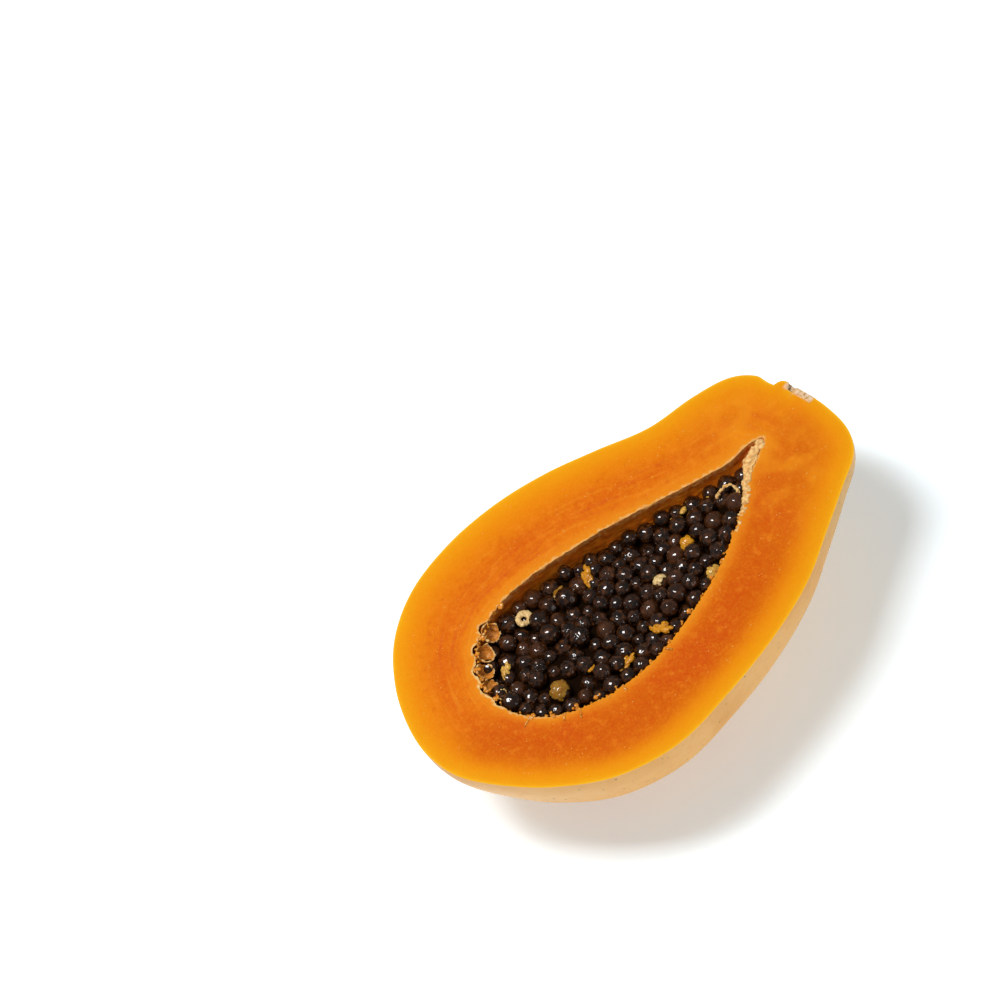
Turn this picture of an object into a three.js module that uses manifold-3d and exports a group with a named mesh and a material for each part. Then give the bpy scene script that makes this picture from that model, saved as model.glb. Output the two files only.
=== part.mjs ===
// Half of a ripe papaya, cut from end to end and lying on its back with the cut face up.
// Millimetres, +Z up. X runs from the blossom end to the stem end, and the cut face is level.
// The origin is under the middle of the bounding box, on the surface that the fruit lies on.
import * as THREE from "three";
import { ParametricGeometry } from "three/addons/geometries/ParametricGeometry.js";
import { mergeVertices } from "three/addons/utils/BufferGeometryUtils.js";
import Module from "manifold-3d";

const wasm = await Module();
wasm.setup();

// Driving dimensions
// A form is two ends and three lines between them, in the cut plane: the right and left edges as
// [x, y], and the keel below as [x, depth]. All three lines have the same number of points.
const FRUIT = {
  blossom: [0, 4],
  stem: [149, 2],
  right: [
    [1.5, -7], [8, -18.8], [18, -31], [32, -42], [50, -47.9], [70, -47.4], [89, -45],
    [107, -40.3], [122.5, -32.8], [135, -26.4], [144.5, -21.3], [149, -14], [150, -4],
  ],
  left: [
    [2, 15], [8, 27.7], [18, 39.2], [32, 46.7], [49, 49.3], [66, 48.1], [82, 44],
    [97, 37.8], [112, 31], [127, 28.2], [138, 24.6], [143.8, 19], [145, 13.2],
  ],
  keel: [
    [1.5, 11.5], [8, 23.5], [18, 35.5], [32, 44], [50, 47.8], [67, 48.4], [85, 46],
    [102, 40.2], [118, 33.2], [131, 27.4], [141, 21.2], [146.5, 14], [147.5, 7],
  ],
};
const CAVITY = {
  blossom: [24, 4],
  stem: [131.5, 2.4],
  right: [
    [25.2, -4.5], [30, -12.5], [38, -18.2], [48, -22], [60, -23.8], [72, -22.8],
    [84, -20.4], [95, -17.2], [105, -12.6], [113, -8.2], [119.5, -3.4], [126, -0.6],
  ],
  left: [
    [26, 11.5], [31, 18], [38, 21.8], [47, 23.5], [58, 22.8], [70, 20.2],
    [82, 17.2], [93, 13.4], [103, 9.8], [112, 6.8], [119.5, 4.6], [126.5, 4.4],
  ],
  keel: [
    [25.5, 8], [30.5, 15.5], [38, 20.5], [47.5, 23.5], [59, 24.2], [71, 23],
    [83, 20.5], [94, 17], [104, 13], [112.5, 9.4], [119.5, 6], [126.5, 3.4],
  ],
};
const RESTING_DEPTH = 47.4; // from the cut face to the small flat spot that the fruit lies on
const LOBES = 5; // faint ridges round the whole fruit
const LOBE_AT_MIDDLE = 0.006; // height of a ridge, as a share of the radius
const LOBE_AT_ENDS = 0.04;

// The dry scar where the stalk broke off, on a low round collar, with a pit in it
const SCAR = { x: 149.1, y: 5.2, radius: 4.9, collarRadius: 7.6, edgeHeight: 2.8, height: 5, lean: 0.14 };
const SCAR_PIT = { y: 7.8, radius: 1.4, depth: 1.8 };

// The crumbly strand that carried the seeds, along the right wall from the tip of the cavity, as
// [x, y, radius]
const STRAND = [
  [129, 2, 1.6], [126, 1.8, 1.9], [122.8, 0.4, 2], [119.6, -2.2, 1.9],
  [116.6, -5.2, 1.9], [113.4, -8, 1.8], [110, -10.4, 1.7],
];
const STRAND_DEPTH = 1; // of its middle below the cut face

// Cups in the wall that seeds have dropped out of, as [x, y]
const POCKETS = [[37.5, 21], [31.6, 17.4], [27.6, 12.6], [25.4, 7], [25.6, 1], [27.6, -5]];
const POCKET = { radius: 2.9, below: 1.7 };

// The black seeds lie on a bed that slopes down from the right edge to the left one.
const SEED_COUNT = 136;
const SEED_RADIUS = { least: 2.2, most: 3.1 };
const SEED_FLATTENED = 0.93; // a seed's height over its width
const SEED_SPACING = 0.92; // between centres, as a share of the two radii
const SEED_FROM_WALL = 0.15;
const SEEDLESS_TIP = 12; // length of the cavity's tip that no seed is dropped into
const SEED_UNEVENNESS = 1.7; // how far a seed sits above or below the bed
const SETTLING_ROUNDS = 90;
const BED = { right: -2.2, left: -6.6 }; // height of the seeds' middles above the cut face
const BED_DIPS = [{ x: 86, y: 7, depth: 3.4, radius: 8 }, { x: 66, y: -10, depth: 2, radius: 6 }];
const CORE_BELOW_BED = 0.8;
const CORE = { length: 120, width: 60, thickness: 40, pastBlossomEnd: 5 };
const GAP = 0.35; // between one piece and the next

// The pale seeds that never filled, as [x, y, half length, half width, turn in degrees]
const PALE_SEEDS = [
  [47.5, 16.6, 2.7, 1.9, 40],
  [59.5, 15, 2.9, 1.5, 10],
  [68.8, 12.6, 3, 1.8, 55],
  [102.6, 6.6, 2.6, 1.6, 20],
  [97.2, 5.2, 2.1, 1.7, 80],
  [107.4, 2.8, 1.7, 1.4, 0],
  [96.6, -2.8, 2.4, 1.4, 30],
  [92.6, -13, 2.1, 1.6, -30],
  [80.9, -3.6, 2.1, 1.1, 15],
  [71.2, -17.4, 3.2, 1.7, -60],
  [57.4, -17.6, 2.8, 1.4, 5],
  [49.4, -11, 1.7, 1.3, 0],
  [36.8, -11.2, 2.6, 1.5, 20],
  [33, 8.6, 2.4, 1.4, 35],
];
const PALE_ABOVE_BED = 1.9;
const PALE_THICKNESS = 0.75; // half height over half width

const FRUIT_COLOUR = 0xf0860f;
const SEED_COLOUR = 0x1c120d;
const PALE_COLOUR = 0xe2b650;

const FRUIT_FACETS = { rings: 40, sides: 40 };
const CAVITY_FACETS = { rings: 26, sides: 24 };
const ROOM_FACETS = { rings: 22, sides: 16 };
const COLLAR_SIDES = 28;
const EDGE_STEPS = 4;
const PIT_SIDES = 10;
const RIM_STEPS = 120;
const CORE_STEPS = { along: 14, across: 6 };

// A closed solid from a geometry: shared corners are merged and collapsed faces dropped.
function solid(geometry) {
  const bare = geometry.clone();
  bare.deleteAttribute("normal");
  bare.deleteAttribute("uv");
  const merged = mergeVertices(bare, 1e-3);
  const corners = Array.from(merged.index.array);
  const faces = [];
  for (let i = 0; i < corners.length; i += 3) {
    const face = corners.slice(i, i + 3);
    if (new Set(face).size === 3) faces.push(...face);
  }
  const vertProperties = merged.attributes.position.array;
  return new wasm.Manifold(new wasm.Mesh({ numProp: 3, vertProperties, triVerts: new Uint32Array(faces) }));
}

function meshOf(name, manifold, colour, roughness) {
  const { vertProperties, triVerts } = manifold.getMesh();
  const geometry = new THREE.BufferGeometry();
  geometry.setAttribute("position", new THREE.BufferAttribute(vertProperties, 3));
  geometry.setIndex(new THREE.BufferAttribute(triVerts, 1));
  geometry.computeVertexNormals();
  const material = new THREE.MeshStandardMaterial({ color: colour, roughness, metalness: 0 });
  const mesh = new THREE.Mesh(geometry, material);
  mesh.name = name;
  return mesh;
}

// A smooth line through its points. The first and last only steer it: it is drawn between the others.
function smoothLine(points) {
  const curve = new THREE.SplineCurve(points.map(([x, y]) => new THREE.Vector2(x, y)));
  const spans = points.length - 1;
  return (share) => curve.getPoint((1 + share * (spans - 2)) / spans);
}

function linesOf({ blossom, stem, right, left, keel }) {
  return {
    right: smoothLine([left[0], blossom, ...right, stem, left.at(-1)]),
    left: smoothLine([right[0], blossom, ...left, stem, right.at(-1)]),
    keel: smoothLine([
      [keel[0][0], -keel[0][1]],
      [blossom[0], 0],
      ...keel,
      [stem[0], 0],
      [keel.at(-1)[0], -keel.at(-1)[1]],
    ]),
  };
}

// The whole rounded form, mirrored above the cut face: at each share of its length, an ellipse
// through both edges and the keel. An inset form lies inside the true one by that much.
function roundedForm(form, { rings, sides }, { lobed = false, inset = 0 } = {}) {
  const lines = linesOf(form);
  const surface = (round, along, target) => {
    const [right, left, keel] = [lines.right(along), lines.left(along), lines.keel(along)];
    const middle = new THREE.Vector3((right.x + left.x) / 2, (right.y + left.y) / 2, 0);
    const across = new THREE.Vector3(right.x, right.y, 0).sub(middle);
    const down = new THREE.Vector3(keel.x, middle.y, -keel.y).sub(middle);
    const angle = round * 2 * Math.PI;
    const ridge = Math.cos(LOBES * (angle - Math.PI / 2)) * Math.abs(Math.sin(angle));
    const endness = (2 * along - 1) ** 2;
    const ridgeHeight = lobed ? THREE.MathUtils.lerp(LOBE_AT_MIDDLE, LOBE_AT_ENDS, endness) : 0;
    const scale = 1 + ridgeHeight * ridge;
    const narrowest = Math.min(across.length(), down.length());
    const kept = inset > 0 ? Math.max(0, 1 - inset / Math.max(narrowest, inset)) : 1;
    target.copy(middle);
    target.addScaledVector(across, Math.cos(angle) * scale * kept);
    target.addScaledVector(down, Math.sin(angle) * scale * kept);
    target.x += inset * (1 - 2 * along);
  };
  return solid(new ParametricGeometry(surface, sides, rings));
}

function blockBetween(low, high) {
  const size = new THREE.Vector3().subVectors(high, low);
  const block = new THREE.BoxGeometry(size.x, size.y, size.z);
  return solid(block.translate(...new THREE.Vector3().addVectors(low, high).multiplyScalar(0.5)));
}

function ball(radius, x, y, z, detail = 1) {
  return solid(new THREE.IcosahedronGeometry(radius, detail).translate(x, y, z));
}

// Lays a form over onto the scar. It was made upright round the Y axis, with the scar at height 0.
function onScar(geometry, y) {
  geometry.rotateZ(-Math.PI / 2).translate(0, y - SCAR.y, 0);
  return solid(geometry.rotateZ(SCAR.lean).translate(SCAR.x, SCAR.y, 0));
}

// A disc with a rounded edge, whose flat top is the scar
function collar() {
  const { radius, collarRadius, edgeHeight, height } = SCAR;
  const profile = [new THREE.Vector2(0, -height), new THREE.Vector2(collarRadius, -height)];
  for (let i = EDGE_STEPS; i >= 0; i--) {
    const angle = (i / EDGE_STEPS) * (Math.PI / 2);
    const out = THREE.MathUtils.lerp(radius, collarRadius, Math.sin(angle));
    profile.push(new THREE.Vector2(out, -edgeHeight * (1 - Math.cos(angle))));
  }
  profile.push(new THREE.Vector2(0, 0));
  return onScar(new THREE.LatheGeometry(profile, COLLAR_SIDES), SCAR.y);
}

function scarPit() {
  const { y, radius, depth } = SCAR_PIT;
  return onScar(new THREE.CylinderGeometry(radius, radius, 2 * depth, PIT_SIDES), y);
}

function strand(grown) {
  const beads = STRAND.map(([x, y, radius]) => ball(radius + grown, x, y, -STRAND_DEPTH));
  return beads.reduce((a, b) => a.add(b));
}

// The flesh with its skin is one grown piece: cavity, empty cups, seed strand, stalk scar and
// resting spot are all part of it.
function fruit() {
  const far = 200; // well past the fruit on every side
  const low = new THREE.Vector3(-far, -far, -RESTING_DEPTH);
  const block = blockBetween(low, new THREE.Vector3(far, far, 0));
  let whole = roundedForm(FRUIT, FRUIT_FACETS, { lobed: true }).add(collar()).subtract(scarPit());
  whole = whole.subtract(roundedForm(CAVITY, CAVITY_FACETS));
  for (const [x, y] of POCKETS) whole = whole.subtract(ball(POCKET.radius, x, y, -POCKET.below));
  return whole.add(strand(0)).intersect(block);
}

// The same draws every run
let state = 20;
function random() {
  state = (state * 16807) % 2147483647;
  return state / 2147483647;
}

// The cavity's rim in the cut face, and how far across it a point lies: 0 at the right, 1 at the left
function cavityPlan() {
  const { right, left } = linesOf(CAVITY);
  const shares = Array.from({ length: RIM_STEPS + 1 }, (_, i) => i / RIM_STEPS);
  const rim = [...shares.map(right), ...shares.slice(1, -1).reverse().map(left)];
  const yAt = (line, x) => {
    return shares.map(line).reduce((a, b) => (Math.abs(b.x - x) < Math.abs(a.x - x) ? b : a)).y;
  };
  return { rim, shareAcross: (x, y) => (y - yAt(right, x)) / (yAt(left, x) - yAt(right, x)) };
}
const plan = cavityPlan();

function bedHeight(x, y) {
  const across = THREE.MathUtils.clamp(plan.shareAcross(x, y), 0, 1);
  let height = THREE.MathUtils.lerp(BED.right, BED.left, across);
  for (const dip of BED_DIPS) {
    height -= dip.depth * Math.exp(-((x - dip.x) ** 2 + (y - dip.y) ** 2) / dip.radius ** 2);
  }
  return height;
}

// Pushes a point away from the nearest stretch of the cavity's rim until it is clear of it.
function keepInside(p, clearance) {
  const { rim } = plan;
  let nearest = 0;
  rim.forEach((q, i) => {
    if (q.distanceToSquared(p) < rim[nearest].distanceToSquared(p)) nearest = i;
  });
  const before = rim.at(nearest - 1);
  const after = rim[(nearest + 1) % rim.length];
  const inward = new THREE.Vector2(before.y - after.y, after.x - before.x).normalize();
  const depth = inward.dot(new THREE.Vector2().subVectors(p, rim[nearest]));
  if (depth < clearance) p.addScaledVector(inward, clearance - depth);
}

// Drops the seeds in anywhere, then lets them push each other apart until they lie side by side.
function settleSeeds() {
  const box = new THREE.Box2().setFromPoints(plan.rim);
  const seeds = [];
  while (seeds.length < SEED_COUNT) {
    const x = THREE.MathUtils.lerp(box.min.x, box.max.x - SEEDLESS_TIP, random());
    const y = THREE.MathUtils.lerp(box.min.y, box.max.y, random());
    const across = plan.shareAcross(x, y);
    if (across < 0 || across > 1) continue;
    const radius = THREE.MathUtils.lerp(SEED_RADIUS.least, SEED_RADIUS.most, random());
    const lift = (2 * random() - 1) * SEED_UNEVENNESS;
    seeds.push({ place: new THREE.Vector2(x, y), radius, lift, turn: random() * Math.PI });
  }
  for (let round = 0; round < SETTLING_ROUNDS; round++) {
    seeds.forEach((seed, i) => {
      for (const other of seeds.slice(0, i)) {
        const apart = new THREE.Vector2().subVectors(seed.place, other.place);
        const short = (seed.radius + other.radius) * SEED_SPACING - apart.length();
        if (short <= 0) continue;
        apart.normalize();
        seed.place.addScaledVector(apart, short / 2);
        other.place.addScaledVector(apart, -short / 2);
      }
    });
    for (const seed of seeds) keepInside(seed.place, seed.radius + SEED_FROM_WALL);
  }
  return seeds;
}

// A core whose top follows the bed, and which the seeds stand out of.
function seedCore() {
  const { length, width, thickness, pastBlossomEnd } = CORE;
  const slab = new THREE.BoxGeometry(length, width, thickness, CORE_STEPS.along, CORE_STEPS.across);
  slab.translate(CAVITY.blossom[0] - pastBlossomEnd + length / 2, 0, -BED.left - thickness);
  const position = slab.attributes.position;
  for (let i = 0; i < position.count; i++) {
    const [x, y, z] = [position.getX(i), position.getY(i), position.getZ(i)];
    if (z > -thickness / 2) position.setZ(i, bedHeight(x, y) - CORE_BELOW_BED);
  }
  return solid(slab);
}

function seedSolid({ place, radius, lift, turn }) {
  const seed = new THREE.DodecahedronGeometry(radius, 0).scale(1, 1, SEED_FLATTENED);
  seed.rotateX(turn).rotateZ(turn).translate(place.x, place.y, bedHeight(place.x, place.y) + lift);
  return solid(seed);
}

function paleSolid([x, y, length, width, turn], grown) {
  const seed = new THREE.DodecahedronGeometry(1, 0);
  seed.scale(length + grown, width + grown, width * PALE_THICKNESS + grown);
  seed.rotateZ(THREE.MathUtils.degToRad(turn)).translate(x, y, bedHeight(x, y) + PALE_ABOVE_BED);
  return solid(seed);
}

function largest(manifold) {
  return manifold.decompose().reduce((a, b) => (b.volume() > a.volume() ? b : a));
}

const room = roundedForm(CAVITY, ROOM_FACETS, { inset: GAP });
let seeds = settleSeeds().reduce((mass, seed) => mass.add(seedSolid(seed)), seedCore());
seeds = seeds.intersect(room);
seeds = seeds.subtract(strand(GAP));
for (const pale of PALE_SEEDS) seeds = seeds.subtract(paleSolid(pale, GAP));

const papaya = new THREE.Group();
papaya.add(meshOf("papaya_half", fruit(), FRUIT_COLOUR, 0.45));
papaya.add(meshOf("seeds", largest(seeds), SEED_COLOUR, 0.15));
PALE_SEEDS.forEach((pale, i) => {
  const name = `pale_seed_${String(i + 1).padStart(2, "0")}`;
  papaya.add(meshOf(name, paleSolid(pale, 0).intersect(room), PALE_COLOUR, 0.5));
});

const box = new THREE.Box3().setFromObject(papaya);
const middle = box.getCenter(new THREE.Vector3());
papaya.position.set(-middle.x, -middle.y, -box.min.z);

export default papaya;
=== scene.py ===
# %% [markdown]
# # Half a papaya
# A ripe papaya cut from end to end, lying on its round back with the cut face up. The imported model
# already has its size and main form in flat facets. This lesson makes the smooth flesh and skin,
# the wet seeds and the crumbly pulp over it, and then the materials and the light.

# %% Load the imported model
import math

import bpy
import numpy as np
from mathutils import Euler, Matrix, Vector, noise


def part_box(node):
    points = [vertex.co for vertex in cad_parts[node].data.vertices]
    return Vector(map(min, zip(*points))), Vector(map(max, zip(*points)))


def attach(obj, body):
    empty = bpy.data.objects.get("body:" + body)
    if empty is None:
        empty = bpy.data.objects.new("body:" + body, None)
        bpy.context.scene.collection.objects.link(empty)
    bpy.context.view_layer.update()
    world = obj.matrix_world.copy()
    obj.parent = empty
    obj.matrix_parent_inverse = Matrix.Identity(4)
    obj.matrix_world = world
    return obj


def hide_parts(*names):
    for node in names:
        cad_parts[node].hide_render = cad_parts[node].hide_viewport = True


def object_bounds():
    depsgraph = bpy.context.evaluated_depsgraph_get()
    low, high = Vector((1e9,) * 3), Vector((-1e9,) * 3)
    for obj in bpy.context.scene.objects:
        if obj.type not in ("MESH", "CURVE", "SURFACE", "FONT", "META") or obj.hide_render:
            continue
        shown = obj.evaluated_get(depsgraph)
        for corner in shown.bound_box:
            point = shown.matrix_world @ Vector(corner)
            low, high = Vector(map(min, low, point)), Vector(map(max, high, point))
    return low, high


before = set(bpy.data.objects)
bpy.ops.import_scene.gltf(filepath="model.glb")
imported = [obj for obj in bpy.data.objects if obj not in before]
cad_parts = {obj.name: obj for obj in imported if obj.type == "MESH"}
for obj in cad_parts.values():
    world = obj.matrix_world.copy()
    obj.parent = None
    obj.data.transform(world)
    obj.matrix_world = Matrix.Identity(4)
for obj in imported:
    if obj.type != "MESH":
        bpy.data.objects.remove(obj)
cad_low, cad_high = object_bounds()
fruit_low, fruit_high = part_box("papaya_half")
MM = 0.001
print("nodes:", len(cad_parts))
print("fruit in mm:", [round(v / MM, 1) for v in fruit_high - fruit_low])

# %% [markdown]
# The camera looks down on the cut face from 58.5 degrees up, and is rolled so that the stem end
# points to the upper right. A long lens keeps the two ends of the fruit in true proportion.

# %% Camera
CAMERA_AZIMUTH, CAMERA_ELEVATION, CAMERA_ROLL = (math.radians(a) for a in (-16.3, 58.5, 30.0))
LENS = 170.0
FRAME_WIDTH = 0.2863  # metres across the picture, at the cut face
AIM = Vector((-6.9 * MM, 47.4 * MM, fruit_high.z))


def looking(azimuth, elevation):
    flat = math.cos(elevation)
    return Vector((math.sin(azimuth) * flat, -math.cos(azimuth) * flat, math.sin(elevation)))


towards_camera = looking(CAMERA_AZIMUTH, CAMERA_ELEVATION)
level_right = Vector((math.cos(CAMERA_AZIMUTH), math.sin(CAMERA_AZIMUTH), 0))
level_up = towards_camera.cross(level_right)
picture_right = level_right * math.cos(CAMERA_ROLL) - level_up * math.sin(CAMERA_ROLL)
picture_up = level_up * math.cos(CAMERA_ROLL) + level_right * math.sin(CAMERA_ROLL)

camera_data = bpy.data.cameras.new("camera")
camera_data.lens = LENS
camera = bpy.data.objects.new("camera", camera_data)
bpy.context.collection.objects.link(camera)
distance = FRAME_WIDTH * LENS / camera_data.sensor_width
turned = Matrix((picture_right, picture_up, towards_camera)).transposed().to_4x4()
camera.matrix_world = Matrix.Translation(AIM + towards_camera * distance) @ turned
bpy.context.scene.camera = camera
print("camera distance in mm:", round(distance / MM))

# %% [markdown]
# The fruit and its cavity are rounded forms between three lines: the right and left edges in the
# cut face and the keel below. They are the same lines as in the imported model, in millimetres from
# the blossom end. A smooth line through them gives every ring of the form.

# %% The lines of the fruit
FRUIT = {
    "blossom": (0, 4),
    "stem": (149, 2),
    "right": [
        (1.5, -7), (8, -18.8), (18, -31), (32, -42), (50, -47.9), (70, -47.4), (89, -45),
        (107, -40.3), (122.5, -32.8), (135, -26.4), (144.5, -21.3), (149, -14), (150, -4),
    ],
    "left": [
        (2, 15), (8, 27.7), (18, 39.2), (32, 46.7), (49, 49.3), (66, 48.1), (82, 44),
        (97, 37.8), (112, 31), (127, 28.2), (138, 24.6), (143.8, 19), (145, 13.2),
    ],
    "keel": [
        (1.5, 11.5), (8, 23.5), (18, 35.5), (32, 44), (50, 47.8), (67, 48.4), (85, 46),
        (102, 40.2), (118, 33.2), (131, 27.4), (141, 21.2), (146.5, 14), (147.5, 7),
    ],
}
CAVITY = {
    "blossom": (24, 4),
    "stem": (131.5, 2.4),
    "right": [
        (25.2, -4.5), (30, -12.5), (38, -18.2), (48, -22), (60, -23.8), (72, -22.8),
        (84, -20.4), (95, -17.2), (105, -12.6), (113, -8.2), (119.5, -3.4), (126, -0.6),
    ],
    "left": [
        (26, 11.5), (31, 18), (38, 21.8), (47, 23.5), (58, 22.8), (70, 20.2),
        (82, 17.2), (93, 13.4), (103, 9.8), (112, 6.8), (119.5, 4.6), (126.5, 4.4),
    ],
    "keel": [
        (25.5, 8), (30.5, 15.5), (38, 20.5), (47.5, 23.5), (59, 24.2), (71, 23),
        (83, 20.5), (94, 17), (104, 13), (112.5, 9.4), (119.5, 6), (126.5, 3.4),
    ],
}
LOBES = 5
LOBE_AT_MIDDLE = 0.006
LOBE_AT_ENDS = 0.04


def smooth_line(points, share):
    """A smooth line through its points, drawn between the second and the last but one."""
    points = np.array(points, float)
    spans = len(points) - 1
    reach = 1 + np.asarray(share, float) * (spans - 2)
    first = np.clip(np.floor(reach).astype(int), 1, spans - 2)
    w = (reach - first)[:, None]
    before, here, there, after = (points[first + step] for step in (-1, 0, 1, 2))
    leaving, arriving = (there - before) / 2, (after - here) / 2
    cubic = (2 * here - 2 * there + leaving + arriving) * w ** 3
    square = (-3 * here + 3 * there - 2 * leaving - arriving) * w ** 2
    return cubic + square + leaving * w + here


def lines_at(form, share):
    right, left, keel = form["right"], form["left"], form["keel"]
    blossom, stem = form["blossom"], form["stem"]
    mirrored = [(keel[0][0], -keel[0][1])], [(keel[-1][0], -keel[-1][1])]
    return (
        smooth_line([left[0], blossom, *right, stem, left[-1]], share),
        smooth_line([right[0], blossom, *left, stem, right[-1]], share),
        smooth_line([*mirrored[0], (blossom[0], 0), *keel, (stem[0], 0), *mirrored[1]], share),
    )


def on_form(sphere, form, lobed=False, inset=0.0):
    """Where each point of a unit sphere, with its poles at the fruit's ends, lies on a form."""
    x, y, z = sphere.T
    along = np.arccos(np.clip(z, -1, 1)) / math.pi
    angle = np.arctan2(y, x)
    right, left, keel = lines_at(form, along)
    middle = (right + left) / 2
    across = right - middle
    down = np.c_[keel[:, 0] - middle[:, 0], -keel[:, 1]]
    ridge = np.cos(LOBES * (angle - math.pi / 2)) * np.abs(np.sin(angle))
    height = LOBE_AT_MIDDLE + (LOBE_AT_ENDS - LOBE_AT_MIDDLE) * (2 * along - 1) ** 2
    scale = 1 + (height * ridge if lobed else 0)
    if inset:
        narrowest = np.minimum(np.hypot(*across.T), np.hypot(*down.T))
        scale = scale * np.maximum(0, 1 - inset / np.maximum(narrowest, inset))
    sideways, downwards = np.cos(angle) * scale, np.sin(angle) * scale
    return np.c_[
        middle[:, 0] + across[:, 0] * sideways + down[:, 0] * downwards + inset * (1 - 2 * along),
        middle[:, 1] + across[:, 1] * sideways,
        down[:, 1] * downwards,
    ]


# %% From fruit millimetres to the scene
outline = np.concatenate(lines_at(FRUIT, np.linspace(0, 1, 400))[:2])
outline_middle = (outline.min(0) + outline.max(0)) / 2
box_middle = (fruit_low + fruit_high) / 2
ORIGIN = np.array([*(-outline_middle * MM + np.array(box_middle[:2])), fruit_high.z])
print("blossom end of the cut face in mm:", (ORIGIN / MM).round(2))


def points_of(piece):
    places = np.empty(3 * len(piece.data.vertices))
    piece.data.vertices.foreach_get("co", places)
    return places.reshape(-1, 3)


def set_points(piece, places):
    piece.data.vertices.foreach_set("co", np.ascontiguousarray(places).ravel())
    piece.data.update()


def mark_points(piece, name, values):
    """Gives every point of a piece a number that its material can read."""
    mark = piece.data.attributes.new(name, "FLOAT", "POINT")
    mark.data.foreach_set("value", values)


def mark_all(piece, name, value):
    mark_points(piece, name, [value] * len(piece.data.vertices))


def settle_in_scene(piece):
    """Turns a piece that was shaped in fruit millimetres into metres in the scene."""
    set_points(piece, points_of(piece) * MM + ORIGIN)


def select_none():
    bpy.ops.object.select_all(action="DESELECT")


def edit_all():
    """Goes to edit mode, with all of the piece selected."""
    bpy.ops.object.mode_set(mode="EDIT")
    bpy.ops.mesh.select_all(action="SELECT")


def leave_edit():
    bpy.ops.object.mode_set(mode="OBJECT")


def only(*pieces):
    select_none()
    for piece in pieces:
        piece.select_set(True)
    bpy.context.view_layer.objects.active = pieces[0]
    return pieces[0]


def joined(name, pieces):
    whole = only(*pieces)
    bpy.ops.object.join()
    whole.name = whole.data.name = name
    return whole


def normals_outwards(piece):
    only(piece)
    edit_all()
    bpy.ops.mesh.normals_make_consistent(inside=False)
    leave_edit()


def triangles(piece):
    return sum(len(face.vertices) - 2 for face in piece.data.polygons)


# %% [markdown]
# The flesh with its skin grew as one piece, so it is one mesh: a rounded outer shell, a smaller
# shell for the cavity, and the flat cut between them. Both shells start as half of a UV sphere
# with the same number of rings. The cut could be one flat face, but it needs points of its own to
# carry colour and relief, so it is a long grid, bent round between the two open edges.

# %% Two half shells
RINGS = 288
SKIN_SEGMENTS, CAVITY_SEGMENTS = 200, 168
CUT_ROWS = 42
NEARLY_NOTHING = 1e-5


def half_sphere(name, segments):
    select_none()
    bpy.ops.mesh.primitive_uv_sphere_add(segments=segments, ring_count=RINGS, radius=1)
    shell = bpy.context.object
    shell.name = name
    edit_all()
    bpy.ops.mesh.bisect(plane_co=(0, 0, 0), plane_no=(0, 1, 0), clear_inner=True)
    leave_edit()
    return shell


def rim_order(sphere):
    """The points on the open edge, up the right side and back down the left."""
    rim = np.flatnonzero(np.abs(sphere[:, 1]) < NEARLY_NOTHING)
    along = np.arccos(np.clip(sphere[rim, 2], -1, 1)) / math.pi
    left = sphere[rim, 0] < -NEARLY_NOTHING
    return rim[np.argsort(np.where(left, 2 - along, along))]


skin_shell = half_sphere("skin_shell", SKIN_SEGMENTS)
skin_rim = rim_order(points_of(skin_shell))
set_points(skin_shell, on_form(points_of(skin_shell), FRUIT, lobed=True))
cavity_shell = half_sphere("cavity_shell", CAVITY_SEGMENTS)
cavity_rim = rim_order(points_of(cavity_shell))
set_points(cavity_shell, on_form(points_of(cavity_shell), CAVITY))
print("shell points:", len(skin_shell.data.vertices), len(cavity_shell.data.vertices))

# %% [markdown]
# At the stem end a dry round scar stands on a low round collar. Seen along the fruit both are a
# height over the blunt end, so the points there are simply pushed out to them, and a small pit is
# pushed in. Two numbers on every point say where it is dry and where the pit is. The back flattens
# where the fruit lies.

# %% Stalk scar and resting spot
SCAR = {"x": 149.1, "y": 5.2, "radius": 4.9, "collar_radius": 7.6, "edge_height": 2.8, "lean": 0.14}
SCAR_PIT = {"y": 7.8, "radius": 1.4, "depth": 1.8}
SCAR_DRY_FROM, SCAR_DRY_AT = -2.2, -1.7  # height over the scar
SCAR_EDGE_FADE = 0.3
COLLAR_CLIFF = 8.0
COLLAR_BLEND = 0.15
STEM_END_FROM = 138  # mm from the blossom end
scar_out = np.array([math.cos(SCAR["lean"]), math.sin(SCAR["lean"]), 0])
scar_side = np.array([-math.sin(SCAR["lean"]), math.cos(SCAR["lean"]), 0])


def smooth_step(value, low, high):
    share = np.clip((value - low) / (high - low), 0, 1)
    return share * share * (3 - 2 * share)


def seen_from_scar(points):
    """Height over the scar, and distances from its middle and from the middle of its pit."""
    offset = points - np.array([SCAR["x"], SCAR["y"], 0])
    side = offset @ scar_side
    from_pit = np.hypot(side - (SCAR_PIT["y"] - SCAR["y"]), offset[:, 2])
    return offset @ scar_out, np.hypot(side, offset[:, 2]), from_pit


def scar_marks(points):
    """How dry each point is, and how far it is inside the pit, both from 0 to 1."""
    height, radius, from_pit = seen_from_scar(points)
    edge = SCAR["radius"] - SCAR_EDGE_FADE, SCAR["radius"] + SCAR_EDGE_FADE
    dry = smooth_step(height, SCAR_DRY_FROM, SCAR_DRY_AT) * (1 - smooth_step(radius, *edge))
    pit = (1 - smooth_step(from_pit, 0.5 * SCAR_PIT["radius"], 0.9 * SCAR_PIT["radius"])) * dry
    return dry, pit


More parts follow.
